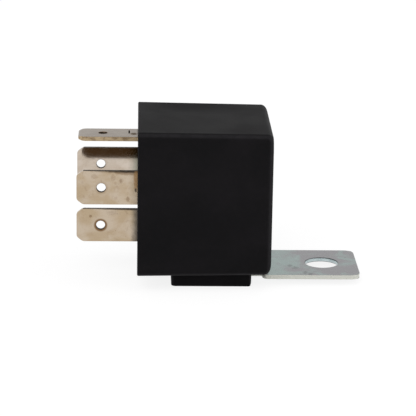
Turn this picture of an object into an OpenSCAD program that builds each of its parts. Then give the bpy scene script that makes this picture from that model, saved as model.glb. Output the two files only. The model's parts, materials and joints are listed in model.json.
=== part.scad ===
// Plug-in automotive relay: one normally open contact, four blade terminals and a side bracket.
// Millimetres. X runs along the relay: the blades point to -X and the bracket's tab to +X.
// The origin is the middle of the base's outer face. The relay lies on its bracket pocket, -Z down.

/* [Cover] */
// Outside height of the cover at its open rim, from the bracket's side to the side over it
cover_h = 27; // [27:0.1:29]
// Outside width of the cover at its open rim
cover_w = 25.6; // [25.6:0.1:28]
// Length of the cover from its rim to the closed end
cover_len = 24.5; // [24.5:0.1:30]
// Thickness of the cover's side walls
cover_wall = 1.2; // [1:0.1:1.3]
// Thickness of the closed end
end_wall = 1.3; // [1:0.1:1.3]
// Draft of each side wall, in degrees
draft = 0.65; // [0:0.01:0.7]
// Rounding round the closed end
end_round = 1.2; // [1:0.1:3]
// Rounding of the four long edges
edge_round = 1.1; // [0.4:0.1:1.2]

/* [Base] */
// Thickness of the base plate
base_t = 3.2; // [2.8:0.1:3.2]
// How far the base stands out of the cover's rim
base_proud = 0.25; // [0:0.05:0.4]

/* [Terminals] */
// Width of a blade
blade_w = 6.3; // [5.8:0.1:6.3]
// Thickness of a blade
blade_t = 0.8; // [0.6:0.1:0.8]
// Length of a blade in front of the base
blade_len = 11; // [8:0.1:13]
// Distance from the relay's middle to each coil blade
coil_blade_y = 8.4; // [8.4:0.1:8.8]
// Height of the coil blades above the relay's middle
coil_blade_z = 2.3; // [1:0.1:2.5]
// Height of the load output blade above the relay's middle
output_blade_z = 10; // [10:0.1:10.4]
// Depth of the load input blade below the relay's middle
input_blade_z = 7.3; // [7:0.1:8]
// Radius of the detent hole in a blade
detent_r = 0.9; // [0.6:0.05:1.1]
// Distance from a blade's tip to its detent hole
detent_from_tip = 4.5; // [4:0.05:5]

/* [Bracket] */
// Width of the bracket's tab
tab_w = 15.5; // [14:0.5:17]
// Thickness of the bracket
tab_t = 0.8; // [0.7:0.1:1]
// Distance from the base's face to the end of the tab
tab_end = 41.6; // [40:0.1:48]
// Distance from the base's face to the screw hole
hole_x = 35; // [32:0.5:36]
// Radius of the screw hole
hole_r = 3.1; // [2.5:0.1:3.3]
// Width of the tongue in the pocket
tongue_w = 12; // [9:0.5:12]
// Length of the pocket along the cover
pocket_len = 14.8; // [14:0.1:16]
// Width of the pocket across the cover
pocket_w = 17.7; // [15:0.1:21]
// How far the pocket stands out below the cover
pocket_drop = 2.95; // [2.7:0.05:3.4]

/* [Motor] */
// Outside radius of the bobbin's flanges
flange_r = 7.3; // [7:0.1:7.3]
// Outside radius of the winding
winding_r = 6.7; // [5:0.1:6.7]
// Radius of the iron core
core_r = 3.2; // [2.6:0.1:3.4]
// Thickness of the yoke's strip
yoke_t = 1.4; // [1.2:0.1:1.4]
// Width of the yoke
yoke_w = 13.6; // [12.6:0.1:14]
// Angle from the open to the closed armature, in degrees
open_angle = 3.1; // [1:0.1:3.1]

/* [Hidden] */

$fn = 48;
cut = 0.5;              // how far a cutter runs past the face that it opens
press_gap = 0.02;       // gap on each side of a piece that is pressed or riveted in
slide_gap = 0.1;        // gap between a shell and what slides into it

// Cover and pocket
rim_x = base_proud;
end_x = rim_x + cover_len;
inner_end_x = end_x - end_wall;
slice_t = 0.01;
end_steps = 7;
pocket_x = rim_x + 6.3;
pocket_end = pocket_x + pocket_len;
pocket_round = 0.8;
foot_z = -cover_h / 2 - pocket_drop;
tab_z = -cover_h / 2 - 1.4;         // middle of the bracket's thickness
tongue_tip = pocket_x + 1.6;
shoulder_x = pocket_end + 2.1;
tab_round = 1.8;
shoulder_round = 1.2;

// Base
base_side = cover_w / 2 - cover_wall - slide_gap;
base_top = cover_h / 2 - cover_wall - slide_gap;
base_round = edge_round + cover_wall / 2;
catch_w = 4;
catch_h = 0.35;
catch_z = 7;
catch_x = rim_x + 1.6;
catch_len = 1;

// Blades
// How much further than blade_len each blade stands out as it is pressed in
extra_30 = 0.1;
extra_85 = -0.15;
extra_86 = 0.2;
extra_87 = -0.3;
blade_edge = 0.1;                   // bevel along a blade's edges
tip_cut_x = 1.15;
tip_cut_w = 0.85;
tip_round = 0.35;
lead_in = 0.6;                      // length of the thinned tip
lead_share = 0.55;                  // share of the thickness left at the tip
barb_x = -1.5;                      // groove pressed behind the output blade's barb
barb_y = -0.45;
barb_groove = [0.28, 3.25];
detent_sink = 0.12;
post_w = 1.6;
post_x = 8.4;
bend_r = 0.4;

// Coil, on an axis along X
coil_z = -0.6;
foot_x = base_t;                    // the input terminal's foot lies on the base
yoke_x = foot_x + blade_t;
bobbin_x = yoke_x + yoke_t + 0.1;
pole_x = 19.1;
pole_t = 0.9;
bobbin_end = pole_x - pole_t - 0.1;
flange_t = 0.9;
tube_wall = 0.6;
rivet_r = 2.4;
leg_z = -9.8;                       // lower face of the yoke's side leg
yoke_top = 6.4;
ear_w = 1.9;
ear_len = 1.9;
lug_x = 8.6;
lug_t = 0.9;
lug_w = 3;

// Armature, drawn closed and then opened about its edge on the yoke
air_gap = 0.1;
pivot = [pole_x + air_gap, 0, leg_z + 0.2];
armature_t = 1.2;
armature_w = 13;
armature_top = 5.2;
tail_w = 4;
tail_z = -11.75;
leaf_t = 0.25;
leaf_x = pivot.x + armature_t;
leaf_top = 10.6;
leaf_low = -6;
contact_z = output_blade_z - 1.7;
contact_r = 1.4;
contact_h = 0.8;
crown = 0.25;                       // rise of a contact's domed face
dome_steps = 5;
shank_r = 0.8;
tail_over = 0.4;                    // height of the moving contact's riveted tail
contact_gap = 0.06;                 // left when the armature is closed
leaf_rivets = [[-3.2, 0.6], [3.2, 0.6]];
leaf_rivet_r = 0.7;
wing_y = -8.9;
wing_z = 3.4;

// Output arm and back stop
shelf_x = leaf_x - 2 * contact_h - contact_gap - blade_t;
arm_w = 5;
stop_t = 0.7;
stop_y = 9;
stop_z = 8.2;
stop_w = 3;
stop_gap = 0.1;
stop_root = 1;

// Springs and wires
spring_z = -11;
spring_r = 0.75;
spring_wire = 0.18;
spring_turns = 9;
hook_hole_r = 0.45;
lead_r = 0.12;
lead_turns = 3;
braid_r = 0.6;

// ---------- shared shapes ----------

// Turns a drawing in Y and Z into a plate that starts at X = 0 and grows towards +X
module along_x(length) {
    rotate([90, 0, 90]) linear_extrude(length) children();
}

module rod(x0, x1, r, y = 0, z = 0) {
    translate([x0, y, z]) rotate([0, 90, 0]) cylinder(h = x1 - x0, r = r);
}

module rounded_rect(w, h, r) {
    square([w - 2 * r, h], center = true);
    square([w, h - 2 * r], center = true);
    for (x = [-1, 1], y = [-1, 1]) translate([x * (w / 2 - r), y * (h / 2 - r)]) circle(r);
}

// Side view of a strip: it runs along +X to a, turns up with inner radius r, and runs to y = b
module bent_strip(a, b, t, r) {
    square([a - t - r, t]);
    translate([a - t, t + r]) square([t, b - t - r]);
    translate([a - t - r, t + r]) intersection() {
        difference() {
            circle(r + t);
            circle(r);
        }
        translate([0, -r - t]) square(r + t);
    }
}

function unit(v) = v / norm(v);
function square_to(v, t) = unit(v - (v * t) * t);
function tangents(p) =
    [for (i = [0 : len(p) - 1]) unit(p[min(i + 1, len(p) - 1)] - p[max(i - 1, 0)])];
function side_seed(t) = abs(t.z) < 0.8 ? [0, 0, 1] : [0, 1, 0];
function normals(t) =
    [for (i = 0, n = square_to(side_seed(t[0]), t[0]);
        i < len(t);
        i = i + 1, n = i < len(t) ? square_to(n, t[i]) : n) n];

// A smooth curve through hand-placed points, with a few steps between each two
function curve_at(p, i, u) =
    let (a = p[max(i - 1, 0)], b = p[i], c = p[i + 1], d = p[min(i + 2, len(p) - 1)])
    b + u / 2 * (c - a + u * (2 * a - 5 * b + 4 * c - d + u * (3 * (b - c) + d - a)));
function curve(p, steps) =
    concat([for (i = [0 : len(p) - 2], s = [0 : steps - 1]) curve_at(p, i, s / steps)],
        [p[len(p) - 1]]);

// A wire of radius r along a list of points
module wire(points, r, sides = 8) {
    t = tangents(points);
    n = normals(t);
    last = len(points) - 1;
    rings = [for (i = [0 : last], j = [0 : sides - 1]) let (a = 360 * j / sides)
        points[i] + r * (cos(a) * n[i] + sin(a) * cross(t[i], n[i]))];
    skin = [for (i = [0 : last - 1], j = [0 : sides - 1]) let (k = (j + 1) % sides)
        [i * sides + j, (i + 1) * sides + j, (i + 1) * sides + k, i * sides + k]];
    near_cap = [[for (j = [0 : sides - 1]) j]];
    far_cap = [[for (j = [0 : sides - 1]) last * sides + sides - 1 - j]];
    polyhedron(points = rings, faces = concat(near_cap, skin, far_cap));
}

// ---------- housing ----------

function taper_at(x) = (x - rim_x) * tan(draft);

// A thin slice of the cover's tapering form, pulled in by inset on every side
module cover_slice(x, inset = 0) {
    less = 2 * (taper_at(x) + inset);
    translate([x, 0, 0]) along_x(slice_t)
        rounded_rect(cover_w - less, cover_h - less, edge_round + inset / 2, $fn = 32);
}

module cover_outer() {
    hull() {
        cover_slice(rim_x);
        for (i = [0 : end_steps]) {
            a = 90 * i / end_steps;
            cover_slice(end_x - slice_t - end_round * (1 - sin(a)), end_round * (1 - cos(a)));
        }
    }
}

module cover_inside() {
    hull() {
        cover_slice(rim_x - cut, cover_wall);
        cover_slice(inner_end_x - slice_t, cover_wall);
    }
}

// Wedge that holds the base in the cover: a catch when gap is 0, its seat when gap is more
module catch_wedge(side, z, gap = 0) {
    rise = catch_h + gap;
    profile = [[catch_x - gap, -slide_gap - cut], [catch_x - gap, rise],
        [catch_x + catch_len + gap, 0], [catch_x + catch_len + gap, -slide_gap - cut]];
    translate([0, side * base_side, z]) scale([1, side, 1])
        linear_extrude(catch_w + 2 * gap, center = true) polygon(profile);
}

module catches(gap = 0) {
    for (side = [-1, 1], z = [-1, 1]) catch_wedge(side, z * catch_z, gap);
}

module pocket_block() {
    top = taper_at(pocket_x) - cover_h / 2 + cover_wall / 2;
    translate([pocket_x + pocket_len / 2, 0, foot_z]) linear_extrude(top - foot_z)
        rounded_rect(pocket_len, pocket_w, pocket_round);
}

module pocket_slot() {
    w = tongue_w + 2 * press_gap;
    h = tab_t + 2 * press_gap;
    translate([tongue_tip - press_gap, -w / 2, tab_z - h / 2])
        cube([pocket_end + cut - tongue_tip + press_gap, w, h]);
}

module cover() {
    color([0.1, 0.1, 0.11]) difference() {
        union() {
            cover_outer();
            pocket_block();
        }
        cover_inside();
        catches(slide_gap);
        pocket_slot();
    }
}

// Slot through the base for one blade, upright or flat
module blade_slot(y, z, upright) {
    w = blade_w + 2 * press_gap;
    t = blade_t + 2 * press_gap;
    translate([-cut, y, z]) along_x(base_t + 2 * cut)
        square(upright ? [t, w] : [w, t], center = true);
}

module base() {
    pad_w = 3;
    pad_y = 3.6;
    pad_z = 3;
    blank_depth = 0.6;
    color([0.14, 0.13, 0.13]) difference() {
        union() {
            along_x(base_t) rounded_rect(2 * base_side, 2 * base_top, base_round);
            catches();
            // pads that carry the yoke's upper end
            for (side = [-1, 1]) translate([base_t, side * pad_y - pad_w / 2, pad_z])
                cube([yoke_x - base_t, pad_w, pad_w]);
        }
        for (side = [-1, 1]) blade_slot(side * coil_blade_y, coil_blade_z, true);
        blade_slot(0, -input_blade_z, true);
        blade_slot(0, output_blade_z, false);
        // room for the bend of the input terminal's foot
        translate([base_t - bend_r - press_gap, -blade_t / 2 - bend_r, -input_blade_z - blade_w / 2])
            cube([bend_r + cut, blade_t / 2 + bend_r, blade_w]);
        // blind slot for the back stop's root
        translate([stop_root - press_gap, stop_y, stop_z]) along_x(base_t)
            square([stop_t + 2 * press_gap, stop_w + 2 * press_gap], center = true);
        // blank place of the fifth terminal, which this relay does not have
        translate([-cut, 0, coil_blade_z]) along_x(cut + blank_depth)
            square([blade_w, blade_t], center = true);
    }
}

module bracket() {
    tab_len = tab_end - shoulder_x;
    color([0.66, 0.68, 0.68]) translate([0, 0, tab_z - tab_t / 2]) difference() {
        linear_extrude(tab_t) {
            translate([tab_end - tab_len / 2, 0]) rounded_rect(tab_len, tab_w, tab_round);
            // the shoulders are rounded less than the outer corners
            translate([shoulder_x + tab_len / 4, 0]) rounded_rect(tab_len / 2, tab_w, shoulder_round);
            translate([tongue_tip, -tongue_w / 2]) square([shoulder_x + tab_round - tongue_tip, tongue_w]);
        }
        translate([hole_x, 0, -cut]) cylinder(h = tab_t + 2 * cut, r = hole_r);
    }
}

// ---------- terminals ----------

// A blade on its own axis: it lies flat, points to -X and ends at inner_x
module blade(inner_x, extra) {
    tip = -blade_len - extra;
    half = blade_w / 2;
    thin = blade_t / 2;
    outline = [[inner_x + 1, -half], [tip + tip_cut_x, -half], [tip, -half + tip_cut_w],
        [tip, half - tip_cut_w], [tip + tip_cut_x, half], [inner_x + 1, half]];
    section = [[-half, 0], [-half + blade_edge, thin], [half - blade_edge, thin], [half, 0],
        [half - blade_edge, -thin], [-half + blade_edge, -thin]];
    side_view = [[inner_x, -thin], [tip + lead_in, -thin], [tip, -thin * lead_share],
        [tip, thin * lead_share], [tip + lead_in, thin], [inner_x, thin]];
    difference() {
        intersection() {
            linear_extrude(blade_t, center = true)
                offset(r = tip_round) offset(delta = -tip_round) polygon(outline);
            translate([tip, 0, 0]) along_x(inner_x - tip) polygon(section);
            rotate([90, 0, 0]) linear_extrude(blade_w, center = true) polygon(side_view);
        }
        translate([tip + detent_from_tip, 0, 0]) {
            cylinder(h = 2 * blade_t, r = detent_r, center = true);
            for (turn = [0, 180]) rotate([turn, 0, 0]) translate([0, 0, thin - detent_sink])
                cylinder(h = detent_sink + cut, r1 = detent_r, r2 = detent_r + detent_sink + cut);
        }
    }
}

module terminal_30() {
    foot_reach = 10;
    color([0.72, 0.66, 0.56]) translate([0, 0, -input_blade_z]) {
        rotate([90, 0, 0]) blade(base_t - bend_r, extra_30);
        // the foot turns to -Y behind the base and lies against the yoke
        linear_extrude(blade_w, center = true) translate([0, blade_t / 2]) mirror([0, 1])
            translate([base_t - bend_r - cut, 0])
            bent_strip(blade_t + bend_r + cut, foot_reach + blade_t / 2, blade_t, bend_r);
    }
}

// Blade of one coil terminal with its post for the winding's end
module coil_terminal(y, extra) {
    color([0.72, 0.66, 0.56]) translate([0, y, coil_blade_z]) {
        rotate([90, 0, 0]) blade(base_t, extra);
        translate([base_t, -blade_t / 2, -post_w / 2]) cube([post_x - base_t, blade_t, post_w]);
    }
}

module terminal_85() {
    coil_terminal(-coil_blade_y, extra_85);
}

module terminal_86() {
    coil_terminal(coil_blade_y, extra_86);
}

module terminal_87() {
    shelf_low = contact_z - contact_r;
    color([0.72, 0.66, 0.56]) difference() {
        union() {
            translate([0, 0, output_blade_z]) blade(base_t, extra_87);
            // arm along the top of the coil, turned down to the contact's shelf
            translate([0, 0, output_blade_z + blade_t / 2]) rotate([90, 0, 0])
                linear_extrude(arm_w, center = true) mirror([0, 1]) translate([base_t - cut, 0])
                bent_strip(shelf_x + blade_t - base_t + cut, output_blade_z + blade_t / 2 - shelf_low,
                    blade_t, bend_r);
        }
        rod(shelf_x - cut, shelf_x + blade_t + cut, shank_r + press_gap, 0, contact_z);
        translate([barb_x, barb_y, output_blade_z]) linear_extrude(blade_t) square(barb_groove);
    }
}

// ---------- magnet ----------

module yoke() {
    drop = yoke_top - leg_z;
    color([0.62, 0.62, 0.6]) difference() {
        union() {
            // base leg and side leg, one bent strip
            translate([0, 0, leg_z]) rotate([90, 0, 0]) linear_extrude(yoke_w, center = true)
                translate([pole_x, 0]) mirror([1, 0])
                bent_strip(pole_x - yoke_x, drop, yoke_t, 0.6);
            // ears that locate the armature
            for (side = [-1, 1]) translate([pole_x - cut, side * (yoke_w - ear_w) / 2 - ear_w / 2, leg_z])
                cube([ear_len + cut, ear_w, yoke_t]);
            // lug for the return spring, sheared from the side leg
            translate([lug_x, -lug_w / 2, spring_z - 1]) cube([lug_t, lug_w, leg_z - spring_z + 1 + yoke_t]);
        }
        rod(yoke_x - cut, yoke_x + yoke_t + cut, rivet_r + press_gap, 0, coil_z);
        rod(lug_x - cut, lug_x + lug_t + cut, hook_hole_r, 0, spring_z);
        // window that the lug was bent out of
        translate([lug_x + lug_t, -lug_w / 2, leg_z - cut]) cube([leg_z - spring_z + 1, lug_w, yoke_t + 2 * cut]);
    }
}

module core() {
    color([0.7, 0.7, 0.68]) {
        rod(yoke_x, yoke_x + yoke_t, rivet_r, 0, coil_z);
        rod(yoke_x + yoke_t, pole_x - pole_t, core_r, 0, coil_z);
        rod(pole_x - pole_t, pole_x, core_r + 1.6, 0, coil_z);
    }
}

module bobbin() {
    bore = core_r + slide_gap / 2;
    barrel = bore + tube_wall;
    long = bobbin_end - bobbin_x;
    spool = [[bore, 0], [flange_r, 0], [flange_r, flange_t], [barrel, flange_t],
        [barrel, long - flange_t], [flange_r, long - flange_t], [flange_r, long], [bore, long]];
    color([0.86, 0.82, 0.7]) translate([bobbin_x, 0, coil_z]) rotate([0, 90, 0])
        rotate_extrude($fn = 72) polygon(spool);
}

module winding() {
    inner = core_r + slide_gap / 2 + tube_wall + press_gap;
    x0 = bobbin_x + flange_t + press_gap;
    x1 = bobbin_end - flange_t - press_gap;
    color([0.62, 0.3, 0.12]) difference() {
        rod(x0, x1, winding_r, 0, coil_z, $fn = 72);
        rod(x0 - cut, x1 + cut, inner, 0, coil_z, $fn = 72);
    }
}

// Enamelled wire from the winding to three turns round the post on side -1 or 1
module coil_lead(side) {
    wrap_r = norm([blade_t, post_w]) / 2 + lead_r + 0.05;
    wrap_x = bobbin_x + flange_t + 0.6;
    pitch = 2.2 * lead_r;
    steps = 12;
    wraps = [for (i = [0 : lead_turns * steps]) let (a = 90 + 360 * i / steps)
        [wrap_x + pitch * i / steps, side * (coil_blade_y - wrap_r * cos(a)),
            coil_blade_z + wrap_r * sin(a)]];
    off = [wrap_x - 0.1, side * (winding_r - 1.5), coil_z + winding_r * 0.62];
    color([0.7, 0.36, 0.14]) wire(concat([off], wraps), lead_r, 6);
}

module coil_lead_a() {
    coil_lead(-1);
}

module coil_lead_b() {
    coil_lead(1);
}

// ---------- contacts ----------

// Contact rivet with its domed face towards +X, seated on a strip whose face is at X = 0
module contact_rivet(strip_t, tail_h, tail_r) {
    dome_r = (contact_r * contact_r + crown * crown) / (2 * crown);
    dome = [for (i = [0 : dome_steps]) let (r = contact_r * (1 - i / dome_steps))
        [r, contact_h - dome_r + sqrt(dome_r * dome_r - r * r)]];
    rotate([0, 90, 0]) rotate_extrude() polygon(concat(
        [[0, -strip_t - tail_h], [tail_r, -strip_t - tail_h], [tail_r, -strip_t],
            [shank_r, -strip_t], [shank_r, 0], [contact_r, 0]], dome));
}

module fixed_contact() {
    color([0.8, 0.79, 0.76]) translate([shelf_x + blade_t, 0, contact_z]) contact_rivet(blade_t, 0.35, 0.9);
}

// Back stop: a strip beside the coil that turns in above the moving contact
module back_stop() {
    lift = (contact_z - pivot.z) * sin(open_angle);
    rest_x = leaf_x + leaf_t + tail_over + lift + stop_gap;
    color([0.68, 0.68, 0.66]) translate([0, 0, stop_z - stop_w / 2]) linear_extrude(stop_w)
        translate([stop_root, stop_y + stop_t / 2]) mirror([0, 1])
        bent_strip(rest_x + stop_t - stop_root, stop_y + 2.4, stop_t, bend_r);
}

// Turns the armature's pieces from the closed to the open place
module opened() {
    translate(pivot) rotate([0, open_angle, 0]) translate(-pivot) children();
}

module armature() {
    notch_h = yoke_t + 0.5;
    notch_y = yoke_w / 2 - ear_w - 0.25;
    color([0.66, 0.66, 0.64]) opened() difference() {
        translate([pivot.x, 0, 0]) along_x(armature_t) {
            translate([0, (armature_top + leg_z - 0.2) / 2])
                rounded_rect(armature_w, armature_top - leg_z + 0.2, 0.8);
            translate([-tail_w / 2, tail_z]) square([tail_w, leg_z - tail_z + 1]);
        }
        // notches for the yoke's ears
        for (side = [-1, 1]) translate([pivot.x - cut, side > 0 ? notch_y : -notch_y - armature_w, leg_z - 0.25])
            cube([armature_t + 2 * cut, armature_w, notch_h]);
        for (p = leaf_rivets) rod(pivot.x - cut, leaf_x + cut, leaf_rivet_r + press_gap, p.x, p.y);
        rod(pivot.x - cut, leaf_x + cut, hook_hole_r, 0, spring_z);
    }
}

module armature_rivets() {
    head_h = 0.4;
    color([0.6, 0.6, 0.58]) opened() for (p = leaf_rivets) {
        rod(pivot.x, leaf_x + leaf_t, leaf_rivet_r, p.x, p.y);
        rod(leaf_x + leaf_t, leaf_x + leaf_t + head_h, leaf_rivet_r + 0.5, p.x, p.y);
    }
}

module contact_leaf() {
    broad = 5;
    narrow = 2.4;
    wing_h = 1.6;
    outline = [[-broad, leaf_low], [broad, leaf_low], [broad, 3], [narrow, 6.5], [narrow, leaf_top],
        [-narrow, leaf_top], [-narrow, 6.5], [-broad, wing_z + wing_h], [wing_y, wing_z + wing_h],
        [wing_y, wing_z - wing_h], [-broad, wing_z - wing_h]];
    color([0.78, 0.6, 0.36]) opened() difference() {
        translate([leaf_x, 0, 0]) along_x(leaf_t) polygon(outline);
        for (p = leaf_rivets) rod(leaf_x - cut, leaf_x + cut, leaf_rivet_r + press_gap, p.x, p.y);
        rod(leaf_x - cut, leaf_x + cut, shank_r + press_gap, 0, contact_z);
    }
}

module moving_contact() {
    color([0.8, 0.79, 0.76]) opened() translate([leaf_x, 0, contact_z]) mirror([1, 0, 0])
        contact_rivet(leaf_t, tail_over, 1);
}

// ---------- spring and braid ----------

// Where a point of the closed armature lies when it is open
function open_point(p) = let (d = p - pivot, c = cos(open_angle), s = sin(open_angle))
    pivot + [d.x * c + d.z * s, d.y, d.z * c - d.x * s];

module return_spring() {
    tail = open_point([pivot.x + armature_t, 0, spring_z]);
    x0 = lug_x + lug_t + 0.7;
    x1 = tail.x - armature_t - 0.9;
    steps = 10;
    coils = [for (i = [0 : spring_turns * steps]) let (a = 360 * i / steps, u = i / (spring_turns * steps))
        [x0 + (x1 - x0) * u, spring_r * sin(a), spring_z + (tail.z - spring_z) * u + spring_r * cos(a)]];
    near_hook = [[lug_x - 0.45, 0.9, spring_z], [lug_x - 0.45, 0.3, spring_z],
        [lug_x - 0.2, 0, spring_z], [lug_x + lug_t + 0.2, 0, spring_z]];
    far_hook = [[x1 + 0.55, 0, tail.z], [tail.x + 0.2, 0, tail.z],
        [tail.x + 0.45, 0.3, tail.z], [tail.x + 0.45, 0.9, tail.z]];
    color([0.7, 0.7, 0.7]) wire(concat(near_hook, coils, far_hook), spring_wire, 6);
}

module braid() {
    weld_y = wing_y + 1;
    straight = 0.8;
    start = [yoke_x, -9.1, -7.5];
    end = open_point([leaf_x - press_gap, weld_y, wing_z]);
    route = [start + [straight, 0, 0], [7, -9.3, -7.2], [10.5, -10.1, -5.8], [14.2, -10.5, -3.2],
        [17.4, -10, 0.2], open_point([leaf_x - straight, weld_y, wing_z])];
    color([0.75, 0.42, 0.24]) wire(concat([start], curve(route, 5), [end]), braid_r, 10);
}

cover();
base();
bracket();
terminal_30();
terminal_85();
terminal_86();
terminal_87();
yoke();
core();
bobbin();
winding();
coil_lead_a();
coil_lead_b();
fixed_contact();
back_stop();
armature();
armature_rivets();
contact_leaf();
moving_contact();
return_spring();
braid();
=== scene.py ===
"""Looks of a plug-in automotive relay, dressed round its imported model.

Sizes are in millimetres, in the part's own frame: X runs along the relay, from its blades at -X to
the bracket's tab at +X, and Z points up from the bracket pocket that it lies on. Every mesh is
brought to metres as it is finished.
"""
import json
import logging
import math
from dataclasses import dataclass, field
from enum import Enum, IntEnum
from typing import Iterable, Sequence

import bmesh
import bpy
from bmesh.types import BMEdge, BMesh, BMFace, BMVert
from mathutils import Matrix, Vector
from mathutils.geometry import interpolate_bezier


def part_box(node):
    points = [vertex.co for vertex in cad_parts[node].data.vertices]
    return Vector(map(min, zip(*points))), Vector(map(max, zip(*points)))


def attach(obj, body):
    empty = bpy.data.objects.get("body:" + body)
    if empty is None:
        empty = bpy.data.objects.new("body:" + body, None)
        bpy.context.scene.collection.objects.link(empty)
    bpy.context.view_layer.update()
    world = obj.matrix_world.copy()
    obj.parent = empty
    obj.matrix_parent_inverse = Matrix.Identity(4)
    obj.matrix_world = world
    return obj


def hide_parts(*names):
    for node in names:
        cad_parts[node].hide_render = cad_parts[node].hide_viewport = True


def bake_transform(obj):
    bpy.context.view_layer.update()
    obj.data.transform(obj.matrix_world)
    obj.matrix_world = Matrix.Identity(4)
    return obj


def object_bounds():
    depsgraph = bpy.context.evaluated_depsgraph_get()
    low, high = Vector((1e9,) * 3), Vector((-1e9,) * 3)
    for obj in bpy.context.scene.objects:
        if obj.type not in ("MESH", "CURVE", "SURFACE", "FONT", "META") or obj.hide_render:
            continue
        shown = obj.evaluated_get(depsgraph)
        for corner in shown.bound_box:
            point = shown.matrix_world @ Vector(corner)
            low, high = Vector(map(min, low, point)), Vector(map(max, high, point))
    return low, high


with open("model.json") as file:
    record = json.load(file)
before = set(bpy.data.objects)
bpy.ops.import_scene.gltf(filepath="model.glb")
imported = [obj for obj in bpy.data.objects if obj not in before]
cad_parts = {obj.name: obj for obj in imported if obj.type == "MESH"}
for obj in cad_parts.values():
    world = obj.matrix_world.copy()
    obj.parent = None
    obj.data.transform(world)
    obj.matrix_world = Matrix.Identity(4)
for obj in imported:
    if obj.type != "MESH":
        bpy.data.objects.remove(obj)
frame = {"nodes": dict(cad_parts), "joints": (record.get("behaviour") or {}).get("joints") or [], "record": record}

LOG = logging.getLogger("relay")
MM = 0.001
SMOOTH_UNDER = 40        # degrees between faces that still shade as one
FLAT_UNDER = 0.01        # radians between faces that are merged into one
WELD = 0.001             # millimetres between points that count as one
CAD_WELD = 0.002         # the same on the mesh of a CAD node
SLACK = 0.01             # millimetres allowed when telling where a point lies
CAD_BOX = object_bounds()

Colour = tuple[float, float, float]
Socket = bpy.types.NodeSocket
Value = float | Socket


class Body(str, Enum):
    """The two rigid bodies of the relay."""

    HOUSING = "housing"
    ARMATURE = "armature"


class Slot(str, Enum):
    """Names of the record's material slots; nothing here uses them."""

    COVER = "cover_plastic"
    BASE = "base_plastic"
    ZINC = "zinc_steel"
    BLADE = "blade_metal"
    ENAMEL = "enamelled_copper"
    SPRING = "spring_steel"
    COPPER = "bare_copper"


class Side(IntEnum):
    """Material numbers of a stamping's faces."""

    FLAT = 0
    SHEARED = 1
    HOLE = 2


@dataclass(frozen=True)
class Box:
    """A node's box in millimetres."""

    low: Vector
    high: Vector

    @classmethod
    def of(cls, node: str) -> "Box":
        """Measures a CAD node.

        Args:
            node: The node's name.

        Returns:
            Its box at rest, in millimetres.
        """
        low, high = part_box(node)
        return cls(low / MM, high / MM)

    @property
    def middle(self) -> Vector:
        """The middle of the box."""
        return (self.low + self.high) / 2

    @property
    def size(self) -> Vector:
        """The box's length along each axis."""
        return self.high - self.low


def mount_place(name: str) -> Vector:
    """Finds a mount of the record.

    Args:
        name: The mount's name.

    Returns:
        Its position in millimetres.
    """
    mount = next(m for m in frame["record"]["mounts"] if m["name"] == name)
    return Vector(mount["pos_m"]) / MM


# ---------- materials ----------


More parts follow.
